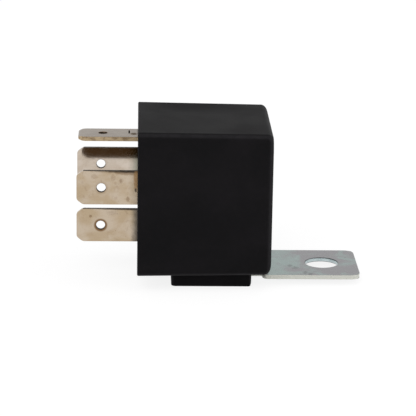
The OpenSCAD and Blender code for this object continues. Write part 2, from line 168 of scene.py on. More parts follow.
class Recipe:
    """One material's node tree, with a short word for each kind of node that the finishes use."""

    def __init__(self, name: str, **sockets: float | Colour) -> None:
        """Starts a Principled material.

        Args:
            name: The material's name.
            **sockets: Values for the shader's sockets, with _ for a space.
        """
        self.material = bpy.data.materials.new(name)
        self.material.use_nodes = True
        self.tree = self.material.node_tree
        self.shader = self.tree.nodes["Principled BSDF"]
        for socket, value in sockets.items():
            title = socket.replace("_", " ").title().replace("Ior", "IOR")
            wanted = (*value, 1.0) if isinstance(value, tuple) else value
            self.shader.inputs[title].default_value = wanted

    def node(self, kind: str, inputs: dict[int | str, object] | None = None,
             **settings: object) -> bpy.types.Node:
        """Adds a node.

        Args:
            kind: The node's type name without its ShaderNode prefix.
            inputs: A value or a socket for each named or numbered input.
            **settings: The node's own properties.

        Returns:
            The new node.
        """
        made = self.tree.nodes.new("ShaderNode" + kind)
        for key, value in settings.items():
            setattr(made, key, value)
        for key, value in (inputs or {}).items():
            if isinstance(value, bpy.types.NodeSocket):
                self.tree.links.new(value, made.inputs[key])
            else:
                made.inputs[key].default_value = value
        return made

    def place(self, stretch: tuple[float, float, float] = (1, 1, 1)) -> Socket:
        """Finds the shaded point of the object.

        Args:
            stretch: Stretch along each axis.

        Returns:
            The point's socket, in millimetres.
        """
        source = self.node("TexCoord").outputs["Object"]
        scale = tuple(s / MM for s in stretch)
        return self.node("Mapping", {"Vector": source, "Scale": scale}).outputs["Vector"]

    def axis(self, name: str) -> Socket:
        """One coordinate of the object's point in millimetres, named X, Y or Z."""
        return self.node("SeparateXYZ", {0: self.place()}).outputs[name]

    def facing(self, name: str) -> Socket:
        """How far the surface faces along one axis of the object, from -1 to 1."""
        normal = self.node("TexCoord").outputs["Normal"]
        return self.node("SeparateXYZ", {0: normal}).outputs[name]

    def noise(self, scale: float, detail: float = 2, rough: float = 0.5, warp: float = 0,
              stretch: tuple[float, float, float] = (1, 1, 1)) -> Socket:
        """Smooth noise.

        Args:
            scale: Spots in each millimetre.
            detail: Number of finer layers.
            rough: Strength of the finer layers.
            warp: How far the noise is warped by itself.
            stretch: Stretch of the pattern along each axis.

        Returns:
            The noise's value socket.
        """
        inputs = {"Vector": self.place(stretch), "Scale": scale, "Detail": detail,
                  "Roughness": rough, "Distortion": warp}
        return self.node("TexNoise", inputs).outputs["Fac"]

    def ramp(self, value: Value, low: float, high: float, start: float = 0, end: float = 1) -> Socket:
        """Turns a value's span from low to high into a smooth step from start to end."""
        inputs = {"Value": value, 1: low, 2: high, 3: start, 4: end}
        return self.node("MapRange", inputs, interpolation_type="SMOOTHSTEP").outputs["Result"]

    def math(self, operation: str, a: Value, b: Value = 0.0) -> Socket:
        """A Math node of two values."""
        return self.node("Math", {0: a, 1: b}, operation=operation).outputs[0]

    def mix(self, share: Value, a: Colour | Socket, b: Colour | Socket) -> Socket:
        """Lays colour b over colour a.

        Args:
            share: Share of b, a number or a socket.
            a: Lower colour.
            b: Upper colour.

        Returns:
            The mixed colour's socket.
        """
        colours = [(*c, 1.0) if isinstance(c, tuple) else c for c in (a, b)]
        inputs = {0: share, 6: colours[0], 7: colours[1]}
        return self.node("Mix", inputs, data_type="RGBA").outputs[2]

    def away_from(self, centre: Sequence[float], keep: tuple[float, float, float]) -> Socket:
        """Distance from an axis or a point.

        Args:
            centre: The point in millimetres.
            keep: 1 for each direction that counts, 0 for the others.

        Returns:
            The distance's socket, in millimetres.
        """
        offset = self.node("VectorMath", {0: self.place(), 1: tuple(centre)}, operation="SUBTRACT")
        flat = self.node("VectorMath", {0: offset.outputs[0], 1: keep}, operation="MULTIPLY")
        return self.node("VectorMath", {0: flat.outputs[0]}, operation="LENGTH").outputs["Value"]

    def bump(self, height: Socket, depth: float, strength: float = 1,
             over: Socket | None = None) -> Socket:
        """Adds relief.

        Args:
            height: Height from 0 to 1.
            depth: What a height of 1 stands for, in millimetres.
            strength: Share of the relief.
            over: Normal that the relief lies on.

        Returns:
            The normal's socket.
        """
        inputs = {"Height": height, "Distance": depth * MM, "Strength": strength}
        if over is not None:
            inputs["Normal"] = over
        return self.node("Bump", inputs).outputs["Normal"]

    def put(self, socket: str, value: Socket) -> None:
        """Links a value to one of the shader's sockets."""
        self.tree.links.new(value, self.shader.inputs[socket])


@dataclass(frozen=True)
class MouldedPlastic:
    """Dark moulded plastic with a fine spark-eroded grain, soft flow marks, a little dust and a painted highlight
    on its rounded edges.
    """

    name: str
    colour: Colour
    pale: Colour
    roughness: float = 0.5
    specular: float = 0.3
    grain: float = 0.012
    sheen: Colour = (1.0, 1.0, 1.0)
    # The next two fields lay a pale colour on the rounded edges: a painted highlight for light from above.
    rubbed: float = 0.0
    rubbed_colour: Colour = (0.027, 0.026, 0.028)
    dull: Sequence[tuple[tuple[float, float, float], float, float]] = ()

    def make(self) -> bpy.types.Material:
        """Builds the material.

        Returns:
            The material.
        """
        r = Recipe(self.name, specular_ior_level=self.specular, specular_tint=self.sheen)
        flow = r.noise(0.12, 2, 0.5, 0.3, stretch=(0.8, 0.6, 1))
        mottle = r.noise(1.1, 3, 0.65)
        shade = r.math("ADD", r.ramp(flow, 0.35, 0.7, 0, 0.5), r.ramp(mottle, 0.4, 0.75, 0, 0.3))
        gloss = r.math("ADD", r.ramp(flow, 0.3, 0.7, -0.04, 0.05),
                       r.ramp(mottle, 0.3, 0.8, -0.01, 0.01))
        for centre, reach, amount in self.dull:
            distance = r.math("ADD", r.away_from(centre, (0.6, 1, 1)),
                              r.ramp(mottle, 0.3, 0.7, -0.6, 0.6))
            share = r.ramp(distance, reach, 0, 0, 1)
            gloss = r.math("ADD", gloss, r.math("MULTIPLY", share, amount))
        body = r.mix(shade, self.colour, self.pale)
        # Painted highlight: rounded edges, which face no main axis, turn towards the pale edge colour.
        if self.rubbed:
            sides = [r.math("ABSOLUTE", r.facing(axis)) for axis in "XYZ"]
            squarest = r.math("MAXIMUM", r.math("MAXIMUM", sides[0], sides[1]), sides[2])
            worn = r.math("MULTIPLY", r.ramp(squarest, 0.99, 0.8), r.ramp(mottle, 0.2, 0.7, 0.6, 1))
            body = r.mix(r.math("MULTIPLY", worn, self.rubbed), body, self.rubbed_colour)
        r.put("Base Color", body)
        r.put("Roughness", r.math("ADD", gloss, self.roughness))
        fine = r.noise(9, 2, 0.6)
        relief = r.bump(fine, self.grain, 0.5)
        r.put("Normal", r.bump(flow, 0.03, 0.3, relief))
        return r.material


@dataclass(frozen=True)
class Stain:
    """One spot on a blade, either a tarnish stain or a streak of painted shade: its middle and its reach along and
    across the blade, and its strength.
    """

    middle: tuple[float, float]
    reach: tuple[float, float]
    share: float
    colour: Colour = (0.17, 0.085, 0.03)
    ragged: float = 1.0


@dataclass(frozen=True)
class TarnishedBlade:
    """Tinned brass strip that has gone brown in blotches and round its hole, with painted shade at its root and,
    where asked, on its far face.
    """

    name: str
    hole: tuple[float, float, float]
    flat: bool = False
    bright: Colour = (0.52, 0.43, 0.33)
    colour: Colour = (0.45, 0.35, 0.235)
    brown: Colour = (0.17, 0.085, 0.03)
    # Painted shade: a dark colour laid on faces that turn to +Y, the far face, by the share set below.
    back: Colour = (0.06, 0.03, 0.009)
    blotches: float = 0.25
    ring: float = 0.0
    # Painted shade: the root share, with the root colour and reach below, darkens the blade towards where it
    # leaves the dark base.
    root: float = 0.5
    root_colour: Colour = (0.09, 0.08, 0.07)
    back_share: float = 0.0
    stains: Sequence[Stain] = ()
    root_reach: float = 1.7
    roughness: float = 0.12
    wear: float = 0.05
    seed: float = 0.0

    def make(self) -> bpy.types.Material:
        """Builds the material.

        Returns:
            The material.
        """
        r = Recipe(self.name, metallic=1.0, specular_ior_level=0.0)
        shift = 1 + self.seed * 0.07
        cloud = r.noise(0.28 * shift, 3, 0.55, 0.3, stretch=(0.7, 1, 1))
        body = r.mix(r.ramp(cloud, 0.36, 0.62), self.bright, self.colour)
        blotch = r.noise(0.75 * shift, 4, 0.6, 0.4)
        body = r.mix(r.ramp(blotch, 0.52, 0.75, 0, self.blotches), body, self.brown)
        speck = r.noise(2.3 * shift, 2, 0.4)
        body = r.mix(r.ramp(speck, 0.70, 0.78, 0, 0.5), body, self.brown)
        ragged = r.math("MULTIPLY", r.math("SUBTRACT", blotch, 0.5), 1.6)
        bare = 1.0
        for stain in self.stains:
            share = self.spot(r, stain, ragged)
            body = r.mix(share, body, stain.colour)
            bare = r.math("MULTIPLY", bare, r.math("SUBTRACT", 1.0, r.math("MULTIPLY", share, 0.8)))
        hole = r.away_from(self.hole, (1, 1, 0) if self.flat else (1, 0, 1))
        body = r.mix(r.ramp(hole, 1.4, 1.05, 0, self.ring), body, self.brown)
        # Painted shade: darker towards the root, where the blade leaves the base.
        inward = r.math("ADD", r.axis("X"), r.math("MULTIPLY", ragged, 0.4))
        body = r.mix(r.ramp(inward, -self.root_reach, 0.2, 0, self.root), body, self.root_colour)
        # Painted shade on the far face, which faces +Y.
        body = r.mix(r.ramp(r.facing("Y"), 0.3, 0.7, 0, self.back_share), body, self.back)
        r.put("Base Color", body)
        if self.stains:
            r.put("Metallic", bare)
        wear = r.math("ADD", r.ramp(blotch, 0.4, 0.8, 0, self.wear),
                      r.ramp(cloud, 0.3, 0.7, 0, self.wear))
        r.put("Roughness", r.math("ADD", wear, self.roughness))
        rolled = r.noise(1.6, 3, 0.5, stretch=(0.12, 2.2, 2.2))
        relief = r.bump(rolled, 0.0004, 0.2)
        r.put("Normal", r.bump(blotch, 0.001, 0.2, relief))
        return r.material

    def spot(self, r: Recipe, stain: Stain, ragged: Socket) -> Socket:
        """Share of one spot of tarnish or painted shade.

        Args:
            r: The recipe.
            stain: The spot.
            ragged: Unevenness of its edge.

        Returns:
            The share's socket.
        """
        along, across = (1 / reach for reach in stain.reach)
        x, side = stain.middle
        place = (x, side, 0) if self.flat else (x, 0, side)
        keep = (along, across, 0) if self.flat else (along, 0, across)
        distance = r.math("ADD", r.away_from(place, keep), r.math("MULTIPLY", ragged, stain.ragged))
        return r.ramp(distance, 1.15, 0.5, 0, stain.share)


@dataclass(frozen=True)
class ShearedEdge:
    """Cut edge of a strip: a burnished upper part, a torn lower part and brown oxide."""

    name: str
    colour: Colour
    dark: Colour
    metallic: float = 0.75
    roughness: float = 0.5
    oxide: float = 0.5
    relief: float = 0.015

    def make(self) -> bpy.types.Material:
        """Builds the material.

        Returns:
            The material.
        """
        r = Recipe(self.name, metallic=self.metallic)
        torn = r.noise(2.6, 3, 0.6, stretch=(0.35, 1, 1))
        cloud = r.noise(0.7, 2, 0.5)
        body = r.mix(r.ramp(torn, 0.5, 0.72, 0, self.oxide), self.colour, self.dark)
        body = r.mix(r.ramp(cloud, 0.48, 0.66, 0, self.oxide * 0.7), body, self.dark)
        r.put("Base Color", body)
        r.put("Roughness", r.ramp(torn, 0.3, 0.7, self.roughness - 0.1, self.roughness + 0.15))
        r.put("Normal", r.bump(torn, self.relief, 0.5))
        return r.material


@dataclass(frozen=True)
class ZincPlate:
    """Bright zinc over rolled steel, with faint blue and green passivate, a few dark pits and painted shade on its
    rolled edges.
    """

    name: str
    colour: Colour = (0.205, 0.20, 0.21)
    cool: Colour = (0.228, 0.295, 0.28)
    # dark: colour of the pits and specks, and of the painted shade on the rolled edges.
    dark: Colour = (0.055, 0.057, 0.06)
    spangled: Colour = (0.23, 0.234, 0.24)
    specks: Sequence[tuple[float, float]] = ((28.9, -2.0), (29.8, -3.4), (31.5, -6.2), (32.3, -6.9))
    roughness: float = 0.28

    def make(self) -> bpy.types.Material:
        """Builds the material.

        Returns:
            The material.
        """
        r = Recipe(self.name, metallic=1.0)
        tint = r.math("ADD", r.noise(0.3, 2, 0.5, 0.5), r.ramp(r.axis("X"), 22, 36, 0.14, -0.12))
        body = r.mix(r.ramp(tint, 0.36, 0.64), self.colour, self.cool)
        spangle = r.noise(1.3, 1, 0.5)
        body = r.mix(r.ramp(spangle, 0.35, 0.7, 0, 0.1), body, self.spangled)
        pits = r.noise(1.1, 1, 0.3, 0.4)
        body = r.mix(r.ramp(pits, 0.74, 0.8, 0, 0.3), body, self.dark)
        ragged = r.math("MULTIPLY", r.math("SUBTRACT", spangle, 0.5), 2)
        for x, y in self.specks:
            near = r.math("ADD", r.away_from((x, y, 0), (1.8, 1, 0)), ragged)
            body = r.mix(r.ramp(near, 1.1, 0.4, 0, 0.55), body, self.dark)
        # Painted shade: faces that turn away from flat, the rolled edges and hole rims, are darkened towards the
        # dark colour.
        level = r.math("ABSOLUTE", r.facing("Z"))
        body = r.mix(r.ramp(level, 0.985, 0.9, 0, 0.9), body, self.dark)
        r.put("Base Color", body)
        r.put("Roughness", r.ramp(spangle, 0.3, 0.7, self.roughness - 0.01, self.roughness + 0.02))
        rolled = r.noise(2.2, 3, 0.5, stretch=(0.15, 1.8, 1))
        relief = r.bump(rolled, 0.0003, 0.3)
        r.put("Normal", r.bump(pits, 0.0006, 0.3, relief))
        return r.material


@dataclass(frozen=True)
class RolledMetal:
    """Plain rolled, drawn or turned metal with fine marks and a slow change of colour."""

    name: str
    colour: Colour
    shade: Colour
    roughness: float = 0.3
    marks: tuple[float, float, float] = (0.2, 1.5, 1.5)

    def make(self) -> bpy.types.Material:
        """Builds the material.

        Returns:
            The material.
        """
        r = Recipe(self.name, metallic=1.0)
        cloud = r.noise(0.4, 3, 0.55, 0.4)
        r.put("Base Color", r.mix(r.ramp(cloud, 0.35, 0.65), self.colour, self.shade))
        fine = r.noise(3, 3, 0.6, stretch=self.marks)
        r.put("Roughness", r.ramp(fine, 0.3, 0.7, self.roughness - 0.06, self.roughness + 0.08))
        r.put("Normal", r.bump(fine, 0.004, 0.4))
        return r.material


@dataclass(frozen=True)
class EnamelledWire:
    """Copper wire under clear amber enamel."""

    name: str
    colour: Colour = (0.50, 0.19, 0.06)
    shade: Colour = (0.30, 0.09, 0.03)

    def make(self) -> bpy.types.Material:
        """Builds the material.

        Returns:
            The material.
        """
        r = Recipe(self.name, metallic=0.85, roughness=0.32, coat_weight=0.6, coat_roughness=0.15)
        cloud = r.noise(0.5, 3, 0.5)
        r.put("Base Color", r.mix(r.ramp(cloud, 0.35, 0.7), self.colour, self.shade))
        r.put("Normal", r.bump(r.noise(4, 2, 0.5), 0.004, 0.3))
        return r.material


@dataclass(frozen=True)
class NaturalNylon:
    """Uncoloured nylon, a little translucent."""

    name: str
    colour: Colour = (0.74, 0.66, 0.48)
    shade: Colour = (0.6, 0.5, 0.33)
    depth: tuple[float, float, float] = (0.6, 0.45, 0.3)

    def make(self) -> bpy.types.Material:
        """Builds the material.

        Returns:
            The material.
        """
        r = Recipe(self.name, roughness=0.4, subsurface_weight=0.15)
        r.shader.inputs["Subsurface Radius"].default_value = tuple(d * MM for d in self.depth)
        cloud = r.noise(0.3, 2, 0.5)
        r.put("Base Color", r.mix(r.ramp(cloud, 0.3, 0.7, 0, 0.3), self.colour, self.shade))
        r.put("Normal", r.bump(r.noise(6, 2, 0.5), 0.006, 0.3))
        return r.material


# ---------- shared mesh steps ----------


def soften(bm: BMesh, edges: Iterable[BMEdge], width: float, steps: int = 2) -> list[BMFace]:
    """Rounds edges over.

    Args:
        bm: The mesh.
        edges: The edges to round.
        width: Distance from each edge to where its rounding starts.
        steps: Number of faces across the rounding.

    Returns:
        The rounding's faces.
    """
    made = bmesh.ops.bevel(bm, geom=list(dict.fromkeys(edges)), offset=width, offset_type="OFFSET",
                           affect="EDGES", segments=steps, profile=0.5, material=-1,
                           clamp_overlap=True, loop_slide=True)
    return made["faces"]


def inner_field(bm: BMesh, face: BMFace, spans: dict[int, tuple[float, float]]) -> BMFace:
    """Draws a rectangle in a flat four-sided face, joined to the face's corners.

    Args:
        bm: The mesh.
        face: The flat face.
        spans: Low and high side of the rectangle along each of two axes.

    Returns:
        The rectangle's face.
    """
    middle, normal = face.calc_center_median(), face.normal.copy()
    bmesh.ops.inset_individual(bm, faces=[face], thickness=0.05)
    depth = max(range(3), key=lambda axis: abs(normal[axis]))
    for vert in face.verts:
        for axis, (low, high) in spans.items():
            vert.co[axis] = low if vert.co[axis] < middle[axis] else high
        vert.co[depth] -= (vert.co - middle).dot(normal) / normal[depth]
    return face


def drawn_out(bm: BMesh, face: BMFace, axis: int, level: float) -> BMFace:
    """Extrudes a face by itself until it lies at a level.

    Args:
        bm: The mesh.
        face: The face.
        axis: Number of the axis along which it moves.
        level: Where it ends on that axis.

    Returns:
        The moved face.
    """
    moved = bmesh.ops.extrude_discrete_faces(bm, faces=[face])["faces"][0]
    for vert in moved.verts:
        vert.co[axis] = level
    return moved


def cut_across(bm: BMesh, x: float) -> None:
    """Adds a line of edges right round the mesh, square to X."""
    bmesh.ops.bisect_plane(bm, geom=[*bm.verts, *bm.edges, *bm.faces], dist=WELD,
                           plane_co=(x, 0, 0), plane_no=(1, 0, 0))


def merge_flat(bm: BMesh) -> None:
    """Merges neighbouring faces that lie in one plane."""
    bmesh.ops.dissolve_limit(bm, angle_limit=FLAT_UNDER, use_dissolve_boundaries=False,
                             verts=bm.verts, edges=bm.edges, delimit=set())


def smooth_route(knots: Sequence[Vector], steps: int) -> list[Vector]:
    """Runs a smooth line through points.

    Args:
        knots: The points.
        steps: Number of pieces between two points.

    Returns:
        The line's points.
    """
    line = []
    for i, (start, end) in enumerate(zip(knots, knots[1:])):
        before, after = knots[max(i - 1, 0)], knots[min(i + 2, len(knots) - 1)]
        handles = start + (end - before) / 6, end - (after - start) / 6
        points = interpolate_bezier(start, *handles, end, steps + 1)
        line += points if i == len(knots) - 2 else points[:-1]
    return line


def twisted(route: Sequence[Vector], radius: float, turns_per_mm: float, phase: float) -> list[Vector]:
    """Winds a line round another.

    Args:
        route: The line in the middle.
        radius: Distance from it.
        turns_per_mm: Turns in each millimetre of its length.
        phase: Where the winding starts, in turns.

    Returns:
        The wound line's points.
    """
    line, gone = [], 0.0
    for i, point in enumerate(route):
        along = (route[min(i + 1, len(route) - 1)] - route[max(i - 1, 0)]).normalized()
        gone += (point - route[max(i - 1, 0)]).length
        side = along.cross(Vector((0, 1, 0))).normalized()
        turn = math.tau * (gone * turns_per_mm + phase)
        line.append(point + radius * (side * math.cos(turn) + along.cross(side) * math.sin(turn)))
    return line


def swept(name: str, lines: Sequence[Sequence[Vector]], radius: float) -> BMesh:
    """Sweeps a round wire along lines.

    Args:
        name: Name of the passing curve.
        lines: Each line's points.
        radius: The wire's radius.

    Returns:
        The wires' mesh.
    """
    curve = bpy.data.curves.new(name, "CURVE")
    curve.dimensions = "3D"
    curve.bevel_depth, curve.bevel_resolution, curve.use_fill_caps = radius, 2, True
    for line in lines:
        spline = curve.splines.new("POLY")
        spline.points.add(len(line) - 1)
        for point, place in zip(spline.points, line):
            point.co = (*place, 1)
    holder = bpy.data.objects.new(name, curve)
    bm = bmesh.new()
    bm.from_mesh(bpy.data.meshes.new_from_object(holder))
    bmesh.ops.remove_doubles(bm, verts=bm.verts, dist=WELD)
    bpy.data.objects.remove(holder)
    bpy.data.curves.remove(curve)
    return bm


def finish_piece(bm: BMesh, name: str, body: Body, nodes: Sequence[str],
                 materials: Sequence[bpy.types.Material], place: Matrix | None = None,
                 stretch: tuple[Vector, Vector] | None = None) -> bpy.types.Object:
    """Turns a mesh in millimetres into a piece that rides on a body, or has its place baked in where it joins the
    two bodies, and stands for CAD nodes.

    Args:
        bm: The mesh, which is freed.
        name: The piece's name.
        body: The body that it rides on.
        nodes: The CAD nodes that it stands for.
        materials: Its materials, in the order of its faces' material numbers.
        place: Where the mesh goes, in millimetres.
        stretch: For a piece that joins the two bodies, where it leaves the housing and where it
        reaches the armature. Only whether it is given is read: such a piece has its place baked
        in and is not attached to a body.

    Returns:
        The piece.
    """
    bmesh.ops.transform(bm, matrix=Matrix.Scale(MM, 4) @ (place or Matrix()), verts=bm.verts)
    bmesh.ops.recalc_face_normals(bm, faces=bm.faces)
    for face in bm.faces:
        face.smooth = True
    mesh = bpy.data.meshes.new(name)
    bm.to_mesh(mesh)
    bm.free()
    mesh.set_sharp_from_angle(angle=math.radians(SMOOTH_UNDER))
    for material in materials:
        mesh.materials.append(material)
    piece = bpy.data.objects.new(name, mesh)
    bpy.context.scene.collection.objects.link(piece)
    if stretch:
        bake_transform(piece)
    else:
        weighted = piece.modifiers.new("even_shading", "WEIGHTED_NORMAL")
        weighted.keep_sharp = True
        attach(piece, body.value)
    if nodes:
        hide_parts(*nodes)
    LOG.info("%s: %d faces on %s", name, len(mesh.polygons), body.value)
    return piece


def dress_node(node: str, material: bpy.types.Material, edge: float = 0.05) -> None:
    """Gives a CAD node its material and breaks its sharp edges.

    Args:
        node: The node's name.
        material: Its material.
        edge: Width of the broken edges.
    """
    piece = frame["nodes"][node]
    for taken in piece.material_slots:
        taken.material = material
    weld = piece.modifiers.new("weld", "WELD")
    weld.merge_threshold = CAD_WELD * MM
    if edge:
        bevel = piece.modifiers.new("broken_edges", "BEVEL")
        bevel.width = edge * MM
        bevel.segments = 2
        bevel.limit_method = "ANGLE"
        bevel.angle_limit = math.radians(SMOOTH_UNDER)
    weighted = piece.modifiers.new("even_shading", "WEIGHTED_NORMAL")
    weighted.keep_sharp = True
    LOG.info("%s: dressed as %s", node, material.name)


# ---------- housing ----------


@dataclass
class Cover:
    """Moulded box cover with the bracket's pocket under it, open at the blades' end."""

    wall: float = 1.2
    end_wall: float = 1.3
    draft: float = 0.65
    end_round: float = 1.2
    edge_round: float = 1.1
    rim_round: float = 0.15
    arc_steps: int = 6
    pocket_length: float = 14.8
    pocket_width: float = 17.7
    pocket_round: float = 0.8
    foot_round: float = 0.15
    root_fillet: float = 0.25
    root_slack: float = 0.15
    slot_end: float = 8.09
    slot_width: float = 12.12
    slot_height: float = 0.92
    box: Box = field(default_factory=lambda: Box.of("cover"))
    foot: Vector = field(default_factory=lambda: mount_place("foot"))
    tongue_z: float = field(default_factory=lambda: Box.of("bracket").middle.z)
    # The cover's rounded edges carry a painted highlight.
    plastic: MouldedPlastic = MouldedPlastic(
        "moulded_cover", colour=(0.0058, 0.0057, 0.006), pale=(0.0092, 0.0084, 0.0092),
        roughness=0.53, specular=0.02, sheen=(1.0, 0.93, 1.0), rubbed=0.4,
        dull=(((11.5, 9.5, 13), 8, 0.1),))

    def section(self, bm: BMesh, x: float, inset: float = 0) -> list[BMEdge]:
        """Draws a rounded section of the cover square to X.

        Args:
            bm: The mesh.
            x: Where the section lies.
            inset: How far it is pulled in.

        Returns:
            Its edges.
        """
        less = (x - self.box.low.x) * math.tan(math.radians(self.draft)) + inset
        radius = self.edge_round + inset / 2
        half_y, half_z = self.box.high.y - less - radius, self.box.high.z - less - radius
        per_corner = self.arc_steps + 1
        ring = bmesh.ops.create_circle(bm, cap_ends=False, segments=4 * per_corner, radius=1)["verts"]
        for i, vert in enumerate(ring):
            corner, step = divmod(i, per_corner)
            angle = math.radians(90 * (corner + step / self.arc_steps))
            side_y = 1 if corner in (0, 3) else -1
            side_z = 1 if corner in (0, 1) else -1
            vert.co = (x, side_y * half_y + radius * math.cos(angle),
                       side_z * half_z + radius * math.sin(angle))
        return list({e for v in ring for e in v.link_edges})

    def build_shell(self, bm: BMesh) -> None:
        """Lofts the outer and the inner wall through their sections and joins them at the rim.

        Args:
            bm: The mesh.
        """
        rim, end = self.box.low.x, self.box.high.x
        outer = [self.section(bm, rim + self.rim_round)]
        steps = self.arc_steps + 2
        for i in range(steps + 1):
            angle = math.radians(90 * i / steps)
            outer.append(self.section(bm, end - self.end_round * (1 - math.sin(angle)),
                                      self.end_round * (1 - math.cos(angle))))
        lip = self.section(bm, rim, self.rim_round)
        inner = [self.section(bm, rim, self.wall), self.section(bm, end - self.end_wall, self.wall)]
        for near, far in zip([inner[1], inner[0], lip, *outer], [inner[0], lip, *outer]):
            bmesh.ops.bridge_loops(bm, edges=near + far)
        for ring in (outer[-1], inner[1]):
            bmesh.ops.edgeloop_fill(bm, edges=ring)
        bmesh.ops.recalc_face_normals(bm, faces=bm.faces)

    def build_pocket(self, bm: BMesh) -> None:
        """Draws the bracket's pocket down out of the lower wall and sinks the tongue's slot in it.

        Args:
            bm: The mesh.
        """
        x0, x1 = self.foot.x - self.pocket_length / 2, self.foot.x + self.pocket_length / 2
        side = self.pocket_width / 2
        under = max((f for f in bm.faces if f.normal.z < -0.9), key=lambda f: f.calc_area()
                    - f.calc_center_median().z)
        floor = inner_field(bm, under, {0: (x0, x1), 1: (-side, side)})
        root_z = floor.calc_center_median().z
        foot = drawn_out(bm, floor, 2, self.foot.z)
        bm.normal_update()
        mouth = next(f for e in foot.edges for f in e.link_faces if f.normal.x > 0.99)
        gap = self.slot_height / 2
        mouth = inner_field(bm, mouth, {1: (-self.slot_width / 2, self.slot_width / 2),
                                        2: (self.tongue_z - gap, self.tongue_z + gap)})
        drawn_out(bm, mouth, 0, self.slot_end)
        uprights = [e for v in foot.verts for e in v.link_edges if e not in set(foot.edges)]
        soften(bm, uprights, self.pocket_round, 5)
        lowest = min(bm.faces, key=lambda f: f.calc_center_median().z)
        soften(bm, lowest.edges, self.foot_round, 3)
        bm.normal_update()
        root = [e for e in bm.edges if all(self.at_root(v, x0, x1, side, root_z) for v in e.verts)
                and any(abs(f.normal.z) < 0.1 for f in e.link_faces)]
        soften(bm, root, self.root_fillet, 3)

    def at_root(self, vert: BMVert, x0: float, x1: float, side: float, root_z: float) -> bool:
        """Tells whether a vertex lies where the pocket meets the lower wall.

        Args:
            vert: The vertex.
            x0: The pocket's low end.
            x1: Its high end.
            side: Half its width.
            root_z: Height of the lower wall at the pocket's middle.

        Returns:
            Whether it does.
        """
        inside = x0 - SLACK < vert.co.x < x1 + SLACK and abs(vert.co.y) < side + SLACK
        return inside and abs(vert.co.z - root_z) < self.root_slack

    def build(self) -> None:
        """Builds the cover."""
        bm = bmesh.new()
        self.build_shell(bm)
        self.build_pocket(bm)
        finish_piece(bm, "cover_moulding", Body.HOUSING, ["cover"],
                     [self.plastic.make()])


@dataclass
class Base:
    """Moulded base plate that carries the blades, let in level with the cover's rim."""

    recess: float = 0.03
    front_depth: float = 0.7
    edge: float = 0.12
    rim: float = field(default_factory=lambda: Box.of("cover").low.x)
    plastic: MouldedPlastic = MouldedPlastic(
        "moulded_base", colour=(0.007, 0.0065, 0.0065), pale=(0.014, 0.012, 0.012),
        roughness=0.5, specular=0.2)

    def build(self) -> None:
        """Copies the base's solid, lets its outer face in to the rim and breaks its edges."""
        bm = bmesh.new()
        bm.from_mesh(frame["nodes"]["base"].data)
        bmesh.ops.scale(bm, vec=(1 / MM,) * 3, verts=bm.verts)
        bmesh.ops.remove_doubles(bm, verts=bm.verts, dist=CAD_WELD)
        front = [v for v in bm.verts if v.co.x < self.front_depth]
        bmesh.ops.translate(bm, vec=(self.rim + self.recess, 0, 0), verts=front)
        merge_flat(bm)
        sharp = [e for e in bm.edges if e.calc_face_angle(0) > math.radians(SMOOTH_UNDER)]
        soften(bm, sharp, self.edge)
        finish_piece(bm, "base_moulding", Body.HOUSING, ["base"], [self.plastic.make()])


@dataclass(frozen=True)
class Fold:
    """One bend of a strip about its own Y axis: towards +Z for a positive angle."""

    start: float
    radius: float = 0.8
    angle: float = 90
    steps: int = 6

    @property
    def length(self) -> float:
        """Length of the strip's middle that the bend takes."""
        return self.radius * math.radians(abs(self.angle))

    def apply(self, bm: BMesh) -> None:
        """Bends the strip.

        Args:
            bm: The flat strip, whose middle lies at Z = 0.
        """
        for i in range(self.steps + 1):
            cut_across(bm, self.start + self.length * i / self.steps)
        side = math.copysign(1, self.angle)
        for vert in bm.verts:
            past = vert.co.x - self.start
            if past > 0:
                turn = min(past / self.length, 1) * math.radians(abs(self.angle))
                rest = max(past - self.length, 0)
                level = side * vert.co.z
                vert.co.x = (self.start + (self.radius - level) * math.sin(turn)
                             + rest * math.cos(turn))
                vert.co.z = side * (self.radius - (self.radius - level) * math.cos(turn)
                                    + rest * math.sin(turn))


